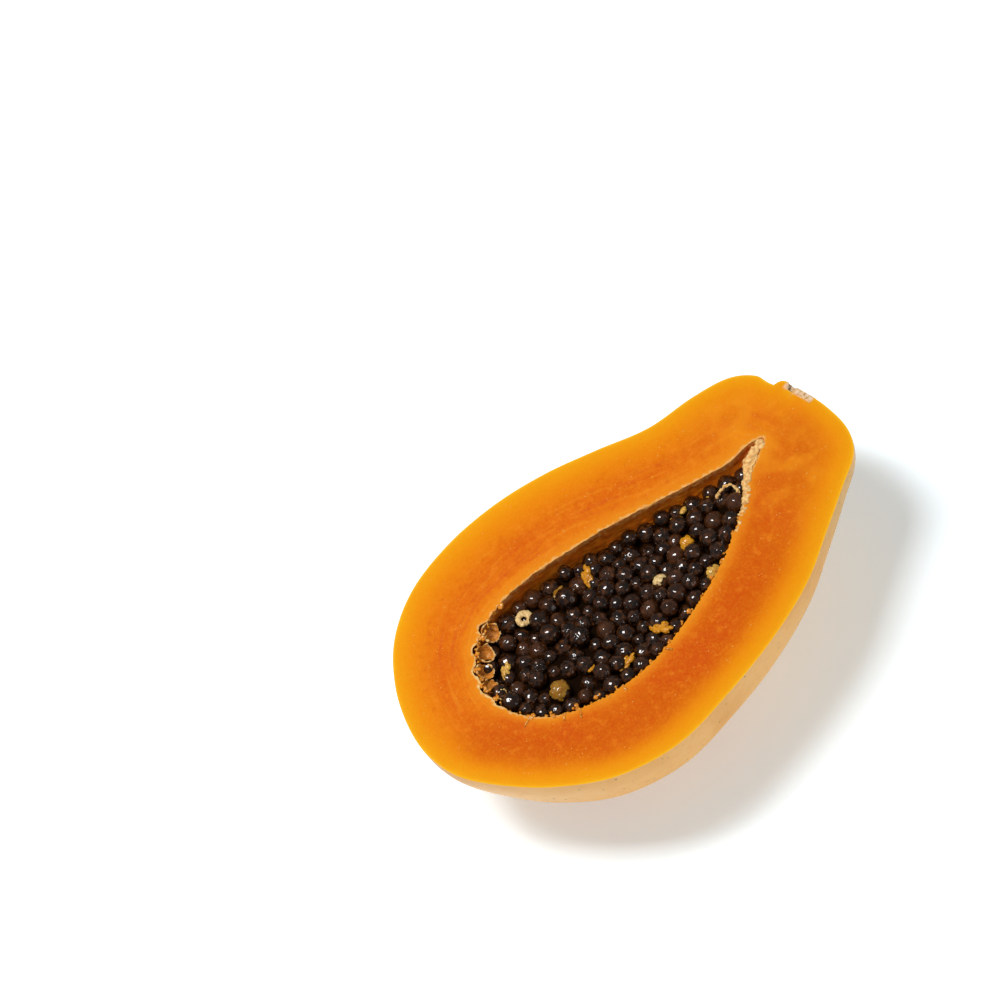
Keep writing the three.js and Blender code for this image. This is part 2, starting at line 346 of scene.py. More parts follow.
places = points_of(skin_shell)
near = places[:, 0] > STEM_END_FROM
height, radius, from_pit = seen_from_scar(places[near])
edge_share = np.clip((radius - SCAR["radius"]) / (SCAR["collar_radius"] - SCAR["radius"]), 0, 1)
collar = -SCAR["edge_height"] * (1 - np.sqrt(1 - edge_share ** 2))
collar -= COLLAR_CLIFF * np.maximum(0, radius - SCAR["collar_radius"])
raised = (height + collar + np.sqrt((height - collar) ** 2 + COLLAR_BLEND ** 2)) / 2
raised -= SCAR_PIT["depth"] * (1 - smooth_step(from_pit, 0.7 * SCAR_PIT["radius"], SCAR_PIT["radius"]))
places[near] += (raised - height)[:, None] * scar_out
places[:, 2] = np.maximum(places[:, 2], (fruit_low.z - fruit_high.z) / MM)
set_points(skin_shell, places)
print("scar points:", int((radius < SCAR["radius"]).sum()))

# %% [markdown]
# Seeds dropped out of the wall at the blossom end and left empty cups. Each cup is part of a ball:
# wall points inside the ball are pushed straight out of the cavity until they reach its surface.
# Then the wall gets a little unevenness, so that its rim isn't a drawn line. It is more torn on
# the right, where the seeds were pulled away with the knife.

# %% Cups in the cavity wall
CUPS = [(37.5, 21), (31.6, 17.4), (27.6, 12.6), (25.4, 7), (25.6, 1), (27.6, -5)]
CUP_RADIUS, CUP_BELOW = 2.6, 1.7
WALL_LUMP_SIZE, WALL_LUMP_DEPTH = 2.2, 0.28
RAG_SIZE, RAG_DEPTH_LEFT, RAG_DEPTH_RIGHT = 0.9, 0.12, 0.4
RAGS_REACH_DOWN = 5
CAVITY_HEART = np.array([52.0, 1.0, 0])


def between(low, high, share):
    return low + (high - low) * share


def rough(points, size, offset=0.0, octaves=3):
    """Seedless noise of about -1 to 1 at each point, with lumps of the given size."""
    shift = Vector((offset, offset * 0.7, -offset))
    return np.array([noise.fractal(Vector(p) / size + shift, 0.8, 2.0, octaves) for p in points])


places = points_of(cavity_shell)
cupped = np.zeros(len(places))
for x, y in CUPS:
    centre = np.array([x, y, -CUP_BELOW])
    outwards = (centre - CAVITY_HEART) * (1, 1, 0)
    outwards /= np.linalg.norm(outwards)
    offset = places - centre
    away = offset @ outwards
    apart = (offset ** 2).sum(1)
    inside = apart < CUP_RADIUS ** 2
    to_surface = np.sqrt(np.maximum(0, away ** 2 - apart + CUP_RADIUS ** 2)) - away
    push = np.where(inside, to_surface, 0)
    places += push[:, None] * outwards
    cupped = np.maximum(cupped, inside * smooth_step(push, 0, 1))
sideways = (places - CAVITY_HEART) * (0.25, 1, 0)
sideways /= np.maximum(np.linalg.norm(sideways, axis=1), 1e-6)[:, None]
at_rim = 1 - smooth_step(-places[:, 2], 0, RAGS_REACH_DOWN)
torn = between(RAG_DEPTH_LEFT, RAG_DEPTH_RIGHT, smooth_step(-places[:, 1], -8, 10)) * at_rim
lumps = rough(places, WALL_LUMP_SIZE) * WALL_LUMP_DEPTH
places += sideways * (lumps + rough(places, RAG_SIZE, 7) * torn)[:, None]
set_points(cavity_shell, places)
mark_points(cavity_shell, "cupped", cupped)
print("points in cups:", int((cupped > 0).sum()))

# %% Join the shells with the cut face
FLESH_FINISHES = [bpy.data.materials.new(name) for name in ("skin", "cavity_wall", "cut_flesh")]
SKIN_SLOT, WALL_SLOT = 0, 1
CROWDED_AT_CAVITY = 1.4  # above 1, the rows lie closer together towards the cavity
WELD_WITHIN = 0.0005

select_none()
bpy.ops.mesh.primitive_grid_add(x_subdivisions=len(skin_rim), y_subdivisions=CUT_ROWS, size=2)
cut_face = bpy.context.object
column, row = ((points_of(cut_face)[:, :2] + 1) / 2).T
column = np.rint(column * len(skin_rim)).astype(int) % len(skin_rim)
inwards = (1 - (1 - row) ** CROWDED_AT_CAVITY)[:, None]
outer_edge = points_of(skin_shell)[skin_rim][column]
inner_edge = points_of(cavity_shell)[cavity_rim][column]
set_points(cut_face, outer_edge * (1 - inwards) + inner_edge * inwards)
for slot_number, sheet in enumerate((skin_shell, cavity_shell, cut_face)):
    for finish in FLESH_FINISHES:
        sheet.data.materials.append(finish)
    sheet.data.polygons.foreach_set("material_index", [slot_number] * len(sheet.data.polygons))
flesh = joined("papaya_flesh", [skin_shell, cavity_shell, cut_face])
edit_all()
bpy.ops.mesh.remove_doubles(threshold=WELD_WITHIN)
leave_edit()
normals_outwards(flesh)
edge_uses = np.bincount([corner.edge_index for corner in flesh.data.loops])
print("faces:", len(flesh.data.polygons), "edges not shared by two:", int((edge_uses != 2).sum()))

# %% [markdown]
# The colour of the cut flesh follows the outline: a yellow line under the skin, orange flesh, and
# a lighter band round the cavity. So every point of the cut face carries two numbers, its distance
# from the skin and from the cavity, which the material reads later. The face itself gets a knife's
# slight waves, and a low ragged lip round the cavity.

# %% Distances and relief on the cut face
def distance_to(points, line):
    """How far each point is from the nearest point of a line, worked out a block at a time."""
    blocks = np.array_split(points[:, :2], 24)
    return np.concatenate(
        [np.sqrt(((block[:, None] - line[None, :, :2]) ** 2).sum(2).min(1)) for block in blocks]
    )


def points_with(piece, slot_number):
    """Which points of a piece belong to faces of one finish."""
    held = np.zeros(len(piece.data.vertices), bool)
    held[[v for f in piece.data.polygons if f.material_index == slot_number for v in f.vertices]] = True
    return held


SHARPEST_SMOOTH_ANGLE = 50
places = points_of(flesh)
cut = np.abs(places[:, 2]) < 0.001
of_skin, of_cavity = points_with(flesh, SKIN_SLOT), points_with(flesh, WALL_SLOT)
from_skin = np.where(cut, distance_to(places, places[cut & of_skin]), 0)
from_cavity = np.where(cut, distance_to(places, places[cut & of_cavity]), 0)
dry, pit = scar_marks(places)
mark_points(flesh, "from_skin", from_skin)
mark_points(flesh, "from_cavity", from_cavity)
mark_points(flesh, "dry", dry)
mark_points(flesh, "pit", pit)

KNIFE_WAVE, KNIFE_RIPPLE, BARK_HEIGHT = 0.16, 0.05, 0.25
LIP_WIDTH, LIP_HEIGHT, LIP_RAGS = 1.6, 0.04, 0.22
NOTCH_WIDTH, NOTCH_DEPTH = 0.45, 0.35
on_cut, to_cavity = places[cut], from_cavity[cut]
waves = rough(on_cut, 9, 3, 2) * KNIFE_WAVE + rough(on_cut, 2.4, 11) * KNIFE_RIPPLE
ragged = rough(on_cut, 1.6, 23)
lift = waves * smooth_step(from_skin[cut], 0.2, 3)
lift += (1 - smooth_step(to_cavity, 0.2, LIP_WIDTH)) * (LIP_HEIGHT + LIP_RAGS * ragged)
lift += dry[cut] * rough(on_cut, 0.8, 51) * BARK_HEIGHT
lift -= NOTCH_DEPTH * (1 - smooth_step(to_cavity, 0, NOTCH_WIDTH)) * smooth_step(ragged, -0.1, 0.4)
places[cut, 2] += lift
set_points(flesh, places)
settle_in_scene(flesh)
only(flesh)
bpy.ops.object.shade_smooth_by_angle(angle=math.radians(SHARPEST_SMOOTH_ANGLE))
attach(flesh, "root")
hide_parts("papaya_half")
print("widest flesh in mm:", round(float((from_skin + from_cavity).max()), 1))

# %% [markdown]
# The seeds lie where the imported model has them: the same seeded draws, pushed apart by the same
# rule until they lie side by side against the cavity's wall.

# %% Settle the seeds
SEED_COUNT = 136
SEED_RADIUS = (2.2, 3.1)
SEED_FLATTENED = 0.93
SEED_SPACING = 0.92
SEED_FROM_WALL = 0.15
SEEDLESS_TIP = 12
SEED_UNEVENNESS = 1.7
SETTLING_ROUNDS = 90
BED_RIGHT, BED_LEFT = -2.2, -6.6
BED_DIPS = [  # x, y, depth, radius
    (86, 7, 3.4, 8),
    (66, -10, 2, 6),
]
CORE_BELOW_BED = 0.8

plan_right, plan_left, _ = lines_at(CAVITY, np.linspace(0, 1, 121))
plan_rim = np.concatenate([plan_right, plan_left[1:-1][::-1]])


def share_across(x, y):
    low = plan_right[np.abs(plan_right[:, 0] - x).argmin(), 1]
    high = plan_left[np.abs(plan_left[:, 0] - x).argmin(), 1]
    return (y - low) / (high - low)


def bed_height(x, y):
    across = min(max(share_across(x, y), 0), 1)
    height = between(BED_RIGHT, BED_LEFT, across)
    for dip_x, dip_y, depth, radius in BED_DIPS:
        height -= depth * math.exp(-((x - dip_x) ** 2 + (y - dip_y) ** 2) / radius ** 2)
    return height


DRAW_FACTOR, DRAW_RANGE = 16807, 2147483647
draw_state = 20


def draw():
    """The next random number of 0 to 1, the same ones in every run."""
    global draw_state
    draw_state = draw_state * DRAW_FACTOR % DRAW_RANGE
    return draw_state / DRAW_RANGE


def strayed(amount):
    return (2 * draw() - 1) * amount


def keep_inside(seed):
    """Moves a seed away from the nearest stretch of the cavity's rim until it is clear of it."""
    place = np.array([seed["x"], seed["y"]])
    nearest = ((plan_rim - place) ** 2).sum(1).argmin()
    before, after = plan_rim[nearest - 1], plan_rim[(nearest + 1) % len(plan_rim)]
    inward = np.array([before[1] - after[1], after[0] - before[0]])
    inward /= np.linalg.norm(inward)
    short = seed["radius"] + SEED_FROM_WALL - inward @ (place - plan_rim[nearest])
    if short > 0:
        seed["x"] += inward[0] * short
        seed["y"] += inward[1] * short


def push_apart(seed, other):
    apart_x, apart_y = seed["x"] - other["x"], seed["y"] - other["y"]
    gap = math.hypot(apart_x, apart_y)
    short = (seed["radius"] + other["radius"]) * SEED_SPACING - gap
    if short > 0:
        for moved, way in ((seed, short / gap / 2), (other, -short / gap / 2)):
            moved["x"] += apart_x * way
            moved["y"] += apart_y * way


def settled_seeds():
    low, high = plan_rim.min(0), plan_rim.max(0)
    seeds = []
    while len(seeds) < SEED_COUNT:
        x = between(low[0], high[0] - SEEDLESS_TIP, draw())
        y = between(low[1], high[1], draw())
        if not 0 <= share_across(x, y) <= 1:
            continue
        radius = between(*SEED_RADIUS, draw())
        lift = strayed(SEED_UNEVENNESS)
        seeds.append({"x": x, "y": y, "radius": radius, "lift": lift, "turn": draw() * math.pi})
    for _ in range(SETTLING_ROUNDS):
        for i, seed in enumerate(seeds):
            for other in seeds[:i]:
                push_apart(seed, other)
        for seed in seeds:
            keep_inside(seed)
    return seeds


seeds = settled_seeds()
print("seeds:", len(seeds), "first at", round(seeds[0]["x"], 1), round(seeds[0]["y"], 1))

# %% [markdown]
# A papaya seed sits in a thin bag of jelly. It is round with a slight point, and under the wet
# skin it is finely wrinkled. Three seeds are modelled, one smooth, one dimpled and one wrinkled,
# and copied to their places, each turned its own way. A number on every point says which seed it
# belongs to, so that the material can make some browner than others.

# %% Model three seeds
RIDGE_SIZE, LUMP_SIZE, LUMP_DEPTH = 0.42, 1.1, 0.02  # of a seed's radius
DIMPLE_AT, DIMPLE_SPREAD = (0.3, 0.2, 0.93), 0.14
POINT_AT, POINT_SPREAD, POINT_HEIGHT = (1, 0, 0), 0.12, 0.07


def ball(name, subdivisions):
    select_none()
    bpy.ops.mesh.primitive_ico_sphere_add(subdivisions=subdivisions, radius=1)
    piece = bpy.context.object
    piece.name = name
    return piece


def bump_at(places, middle, spread):
    """1 at the middle, and falling smoothly to 0 round it."""
    return np.exp(-((places - middle) ** 2).sum(1) / spread)


def model_seed(name, wrinkle, dimple, offset):
    seed = ball(name, 4)
    places = points_of(seed)
    ridges = 1 - 2 * np.abs(rough(places, RIDGE_SIZE, offset, 2))
    swell = 1 + wrinkle * ridges + LUMP_DEPTH * rough(places, LUMP_SIZE, offset + 5, 2)
    swell -= dimple * bump_at(places, DIMPLE_AT, DIMPLE_SPREAD)
    swell += POINT_HEIGHT * bump_at(places, POINT_AT, POINT_SPREAD)
    set_points(seed, places * swell[:, None])
    return seed


seed_models = [
    model_seed("smooth_seed", 0.036, 0, 1),
    model_seed("dimpled_seed", 0.06, 0.10, 31),
    model_seed("wrinkled_seed", 0.13, 0.04, 57),
]
print("faces a seed:", len(seed_models[0].data.polygons))

# %% Copy them to their places
SEED_KINDS = [0, 1, 0, 2, 1, 0, 0, 1, 2, 0, 1]
GOLDEN_STEP = 0.618034  # spreads the tones evenly over the seeds


def copied(model, name, size, turn, place, flattened=1.0):
    """A copy that is stretched, then turned, then flattened from above, and set in its place."""
    piece = model.copy()
    piece.data = model.data.copy()
    piece.name = name
    bpy.context.collection.objects.link(piece)
    turned = (points_of(piece) * size) @ np.array(Euler(turn).to_matrix()).T
    set_points(piece, turned * (1, 1, flattened) + place)
    return piece


seed_pieces = []
for i, seed in enumerate(seeds):
    x, y = seed["x"], seed["y"]
    radius, turn = seed["radius"], seed["turn"]
    place = np.array([x, y, bed_height(x, y) + seed["lift"]])
    kind = SEED_KINDS[i % len(SEED_KINDS)]
    turns = turn, 0.9 * i, 2.3 * turn
    piece = copied(seed_models[kind], f"seed_{i}", radius, turns, place, SEED_FLATTENED)
    mark_all(piece, "seed_tone", (i * GOLDEN_STEP + seed["lift"]) % 1)
    seed_pieces.append(piece)

# %% [markdown]
# Below the top layer lies a dark bed that stands for more seeds and pulp; its near-black colour is
# painted shade in the gaps between the seeds. It is a shell like the cavity's, a little smaller, with
# its upper half pressed down to the height that the seeds stand on.

# %% The bed under the seeds
BED_FROM_WALL = 0.35
BED_LUMP_SIZE, BED_LUMP_HEIGHT = 2.6, 0.5
select_none()
bpy.ops.mesh.primitive_uv_sphere_add(segments=48, ring_count=84, radius=1)
painted_shade_bed = bpy.context.object
sphere = points_of(painted_shade_bed)
above = sphere[:, 1] < 0
places = on_form(sphere, CAVITY, inset=BED_FROM_WALL)
ceiling = np.array([bed_height(x, y) for x, y in places[:, :2]]) - CORE_BELOW_BED
ceiling += BED_LUMP_HEIGHT * rough(places * (1, 1, 0), BED_LUMP_SIZE, 41)
places[:, 2] = np.where(above, ceiling, np.minimum(places[:, 2], ceiling))
set_points(painted_shade_bed, places)
mark_all(painted_shade_bed, "seed_tone", -1.0)
black_seeds = joined("black_seeds", [*seed_pieces, painted_shade_bed])
settle_in_scene(black_seeds)
normals_outwards(black_seeds)
bpy.ops.object.shade_smooth()
for model in seed_models:
    bpy.data.objects.remove(model)
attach(black_seeds, "root")
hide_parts("seeds")
print("triangles in the seeds:", triangles(black_seeds))

# %% [markdown]
# Some seeds never filled. They are soft and pale: lumps, twins, shreds, one closed like a ring, and
# empty skins that sit on a black seed like a cap. Lumps and shreds are a few balls pushed together.
# A voxel remesh melts them into one soft skin, and noise crumples it. A cap is the ragged top of a
# ball with a thickness.

# %% Melt and crumple
def remeshed(piece, voxel):
    only(piece)
    remesh = piece.modifiers.new("skin", "REMESH")
    remesh.mode = "VOXEL"
    remesh.voxel_size = voxel
    bpy.ops.object.modifier_apply(modifier=remesh.name)
    return piece


def crumpled(piece, size, depth, offset):
    places = points_of(piece)
    normals = np.array([v.normal for v in piece.data.vertices])
    set_points(piece, places + normals * (rough(places, size, offset) * depth)[:, None])
    return piece


def bead(x, y, z, radius):
    piece = ball("bead", 2)
    set_points(piece, points_of(piece) * radius + (x, y, z))
    return piece


def melted(name, balls, voxel):
    """One soft body from balls of x, y, z and radius."""
    return remeshed(joined(name, [bead(*one) for one in balls]), voxel)


def ragged_shell(name, keep_above, raggedness, thickness, offset):
    """The top of a unit ball above a height, with a ragged edge and a thickness."""
    shell = ball(name, 4)
    centres = np.array([f.center for f in shell.data.polygons])
    kept = centres[:, 2] + raggedness * rough(centres, 0.5, offset) > keep_above
    bpy.ops.object.mode_set(mode="EDIT")
    bpy.ops.mesh.select_all(action="DESELECT")
    leave_edit()
    shell.data.polygons.foreach_set("select", ~kept)
    bpy.ops.object.mode_set(mode="EDIT")
    bpy.ops.mesh.delete(type="FACE")
    leave_edit()
    wall = shell.modifiers.new("wall", "SOLIDIFY")
    wall.thickness = thickness
    wall.offset = 1
    bpy.ops.object.modifier_apply(modifier=wall.name)
    return shell


# %% Model the pale seeds
RING_BALLS = 16
ring_angles = [between(0.25, 2 * math.pi - 0.25, i / (RING_BALLS - 1)) for i in range(RING_BALLS)]
LUMP = [(0, 0, 0, 0.72), (0.42, 0.2, 0.1, 0.46), (-0.42, -0.22, 0.05, 0.5), (0.05, 0.5, -0.1, 0.4)]
TWIN = [(-0.52, 0, 0, 0.5), (-0.5, 0.2, 0.15, 0.3), (0.5, 0.05, 0.1, 0.46), (0, 0, -0.1, 0.3)]
SHRED = [
    (-0.85, -0.1, 0, 0.34), (-0.5, 0.12, 0.12, 0.5), (-0.05, -0.05, 0.05, 0.52), (0.4, -0.25, 0.15, 0.48),
    (0.8, 0.05, 0, 0.34), (0.15, 0.5, 0, 0.42), (-0.35, -0.5, -0.05, 0.4), (0.6, -0.55, 0, 0.26),
]
RING = [
    (0.62 * math.cos(a), 0.62 * math.sin(a), 0.1 * math.sin(a), 0.34 + 0.06 * math.cos(a))
    for a in ring_angles
]

pale_models = {
    "lump": crumpled(crumpled(melted("lump", LUMP, 0.06), 0.8, 0.1, 3), 0.3, 0.03, 4),
    "twin": crumpled(crumpled(melted("twin", TWIN, 0.06), 0.8, 0.08, 13), 0.3, 0.03, 14),
    "shred": crumpled(crumpled(melted("shred", SHRED, 0.06), 0.6, 0.14, 23), 0.25, 0.04, 24),
    "ring": crumpled(crumpled(melted("ring", RING, 0.06), 0.7, 0.09, 29), 0.25, 0.03, 30),
    "cap": crumpled(remeshed(ragged_shell("cap", 0.5, 0.45, 0.12, 61), 0.055), 0.35, 0.07, 37),
}
print("pale faces:", {name: len(piece.data.polygons) for name, piece in pale_models.items()})

# %% Copy the pale seeds
CREAM, STRAW, GOLD, OLIVE = 0.0, 0.33, 0.66, 1.0
# x, y, half length, half width, turn in degrees, kind, tone. A cap takes the size of its seed.
PALE_SEEDS = [
    (47.5, 16.6, 3.1, 2.6, 40, "ring", CREAM),
    (59.5, 15, 2.9, 1.7, 10, "lump", OLIVE),
    (68.8, 12.6, 3, 2, 55, "shred", GOLD),
    (102.6, 6.6, 2.8, 1.8, 20, "twin", STRAW),
    (97.2, 5.2, 2.2, 1.7, 80, "lump", STRAW),
    (107.4, 2.8, 1.7, 1.4, 0, "lump", STRAW),
    (96.6, -2.8, 2.4, 1.4, 30, "cap", GOLD),
    (92.6, -13, 2.1, 1.6, -30, "cap", STRAW),
    (80.9, -3.6, 2.1, 1.1, 15, "cap", CREAM),
    (71.2, -17.4, 3.3, 2.2, -60, "shred", GOLD),
    (57.4, -17.6, 2.8, 1.6, 5, "shred", GOLD),
    (49.4, -11, 1.7, 1.3, 0, "lump", GOLD),
    (36.8, -11.2, 2.6, 1.5, 20, "cap", OLIVE),
    (33, 8.6, 2.4, 1.6, 35, "shred", STRAW),
]
PALE_ABOVE_BED = 1.5
RING_HIGHER = 0.7
PALE_THICKNESS = 0.75
PALE_LEAN, CAP_LEAN = 0.25, 0.6
CAP_SIZE = 1.03  # of the seed under it


def nearest_seed(x, y):
    return min(seeds, key=lambda seed: math.hypot(seed["x"] - x, seed["y"] - y))


pale_pieces = []
for i, (x, y, length, width, turn, kind, tone) in enumerate(PALE_SEEDS):
    place = np.array([x, y, bed_height(x, y) + PALE_ABOVE_BED + (RING_HIGHER if kind == "ring" else 0)])
    size = np.array([length, width, width * PALE_THICKNESS])
    lean = PALE_LEAN
    if kind == "cap":
        seed = nearest_seed(x, y)
        place = np.array([seed["x"], seed["y"], bed_height(seed["x"], seed["y"]) + seed["lift"]])
        size = seed["radius"] * CAP_SIZE
        lean = CAP_LEAN
    tilt = (lean * math.sin(i * 2.1), lean * math.cos(i * 1.7), math.radians(turn))
    piece = copied(pale_models[kind], f"pale_{i}", size, tilt, place)
    mark_all(piece, "seed_tone", tone)
    pale_pieces.append(piece)
pale_seeds = joined("pale_seeds", pale_pieces)
settle_in_scene(pale_seeds)
only(pale_seeds)
bpy.ops.object.shade_smooth()
for model in pale_models.values():
    bpy.data.objects.remove(model)
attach(pale_seeds, "root")
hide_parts(*(f"pale_seed_{i + 1:02d}" for i in range(len(PALE_SEEDS))))
print("triangles in the pale seeds:", triangles(pale_seeds))

# %% [markdown]
# The strand that carried the seeds fills the narrow tip of the cavity and runs down its right
# wall. It is dry and crumbly. Balls along its line, each a little off it, are melted into one body,
# which noise then breaks up. Its top was cut flush with the flesh.

# %% The crumbly strand
STRAND = [
    (129.6, 1.8, 1.5), (126, 1.3, 1.9), (122.8, -0.2, 1.9), (119.6, -2.9, 1.5),
    (116.6, -5.8, 1.25), (113.4, -8.4, 1.1), (110, -10.7, 0.95), (105.5, -12.9, 0.7),
]
STRAND_DEPTH = 0.7
STRAND_STEPS = 7  # balls from one point of the strand to the next
TIP_CAP = {"x": 112.2, "y": -2.2, "radius": 3.2, "from": -0.7, "to": 2.5, "thick": 0.5}
TIP_CAP_BALLS = 20
CUT_OFF_AT = 0.12


def cut_off(piece, kept):
    """Presses what stands above the cut down to a share of its height."""
    places = points_of(piece)
    above = places[:, 2] > CUT_OFF_AT
    places[above, 2] = between(CUT_OFF_AT, places[above, 2], kept)
    set_points(piece, places)


balls = []
for (x, y, radius), (next_x, next_y, next_radius) in zip(STRAND, STRAND[1:]):
    for step in range(STRAND_STEPS):
        share = step / STRAND_STEPS
        here = between(x, next_x, share) + strayed(0.3), between(y, next_y, share) + strayed(0.3)
        size = between(radius, next_radius, share) * between(0.75, 1.05, draw())
        balls.append((*here, strayed(0.2) - STRAND_DEPTH, size))
for step in range(TIP_CAP_BALLS):
    angle = between(TIP_CAP["from"], TIP_CAP["to"], step / (TIP_CAP_BALLS - 1))
    reach = TIP_CAP["radius"] + strayed(0.25)
    here = TIP_CAP["x"] + reach * math.cos(angle), TIP_CAP["y"] + reach * math.sin(angle)
    balls.append((*here, 0.5 * math.sin(3 * angle) - 1.4, TIP_CAP["thick"] * between(0.6, 1.2, draw())))
strand = crumpled(crumpled(melted("seed_strand", balls, 0.16), 1.3, 0.35, 5), 0.5, 0.15, 9)
cut_off(strand, 0.3)

# %% [markdown]
# Seeds that fell out of the blossom end left their thin cups behind, along the inside of the rim. A
# cup is a ball's ragged shell turned upside down. Torn pulp clings to the rest of the rim, mostly
# along the right, where it hangs between the seeds in golden clumps and a few short wet threads.

# %% Empty cups and torn pulp
EMPTY_CUPS = [  # x, y, radius, tilt towards the seeds in radians
    (38.2, 19.3, 2.7, 0.75),
    (32.8, 15.8, 2.6, 0.7),
    (29, 11.8, 2.5, 0.6),
    (27, 7.2, 2.2, 0.6),
    (27.2, 2.4, 1.8, 0.5),
]
EMPTY_CUP_HEIGHT = -1.1
RIM_CLUMPS, CLUMP_BALLS = 46, 4
THREAD_BALLS = 12
RIM_THREADS = [(0.12, 3.2), (0.2, 2.0), (0.235, 2.8), (0.33, 1.8), (0.43, 2.4)]  # share along, length

cup_pieces = []
for i, (x, y, radius, tilt) in enumerate(EMPTY_CUPS):
    torn_shell = remeshed(ragged_shell(f"cup_{i}", 0.1, 0.5, 0.13, 70 + i), 0.06)
    cup = crumpled(torn_shell, 0.5, 0.12, 80 + i)
    bowl = points_of(cup) * (1, 1, -1)
    depth = np.clip(-bowl[:, 2], 0, 1)
    inwards = math.atan2(CAVITY_HEART[1] - y, CAVITY_HEART[0] - x)
    leaned = Euler((0, tilt, inwards)).to_matrix()
    set_points(cup, bowl * radius @ np.array(leaned).T + (x, y, EMPTY_CUP_HEIGHT))
    mark_points(cup, "in_cup", depth)
    cup.data.flip_normals()
    cup_pieces.append(cup)
empty_cups = joined("empty_cups", cup_pieces)


def on_rim(line, share, inwards):
    """A point of the cavity's rim, moved into the cavity."""
    along = share * (len(line) - 1)
    first = min(int(along), len(line) - 2)
    here = between(line[first], line[first + 1], along - first)
    towards = CAVITY_HEART[:2] - here
    return here + towards / np.linalg.norm(towards) * inwards


balls = []
for step in range(RIM_CLUMPS):
    right_side = step % 3 != 2
    share = between(0.01, 0.74 if right_side else 0.3, (step + draw()) / RIM_CLUMPS)
    line = plan_right if right_side else plan_left
    x, y = on_rim(line, share, between(-0.2, 0.9, draw()))
    size = between(0.3, 0.85, draw() ** 2)
    for _ in range(CLUMP_BALLS):
        here = x + strayed(1.1 * size), y + strayed(1.1 * size), strayed(0.4) - 0.5
        balls.append((*here, size * between(0.5, 1, draw())))
for share, length in RIM_THREADS:
    for step in range(THREAD_BALLS):
        x, y = on_rim(plan_right, share + strayed(0.002), -length * step / (THREAD_BALLS - 1))
        balls.append((x, y, 0.2, 0.24 + 0.08 * math.cos(step)))
torn_pulp = crumpled(melted("torn_pulp", balls, 0.12), 0.5, 0.16, 19)
cut_off(torn_pulp, 0.5)

for piece in (strand, empty_cups, torn_pulp):
    settle_in_scene(piece)
    only(piece)
    bpy.ops.object.shade_smooth()
    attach(piece, "root")
    print("triangles in", piece.name, triangles(piece))

# %% [markdown]
# A material is a tree of nodes, but its sums read better as sums. A Shade wraps one output socket,
# so that 1 - mask or noise * 0.3 adds the Math node for it, and a Finish makes every other node
# from its type, its settings and the values of its sockets.

# %% Shades and finishes
class Shade:
    def __init__(self, finish, socket):
        self.finish = finish
        self.socket = socket

    def maths(self, operation, *values):
        return self.finish.node("Math", {"operation": operation}, dict(enumerate(values)))

    def __add__(self, other):
        return self.maths("ADD", self, other)

    def __sub__(self, other):
        return self.maths("SUBTRACT", self, other)

    def __rsub__(self, other):
        return self.maths("SUBTRACT", other, self)

    def __mul__(self, other):
        return self.maths("MULTIPLY", self, other)

    def __truediv__(self, other):
        return self.maths("DIVIDE", self, other)

    __radd__ = __add__
    __rmul__ = __mul__

    def ease(self, low, high):
        """0 below low, 1 above high, and smooth between them; low may be the larger."""
        return self.finish.node(
            "MapRange", {"interpolation_type": "SMOOTHSTEP"},
            {"Value": self, "From Min": low, "From Max": high},
        )


def colour(red, green, blue):
    """A colour as a picture shows it, from 0 to 255, in the linear light that shaders use."""
    shares = [c / 255 for c in (red, green, blue)]
    linear = [c / 12.92 if c <= 0.04045 else ((c + 0.055) / 1.055) ** 2.4 for c in shares]
    return (*linear, 1.0)


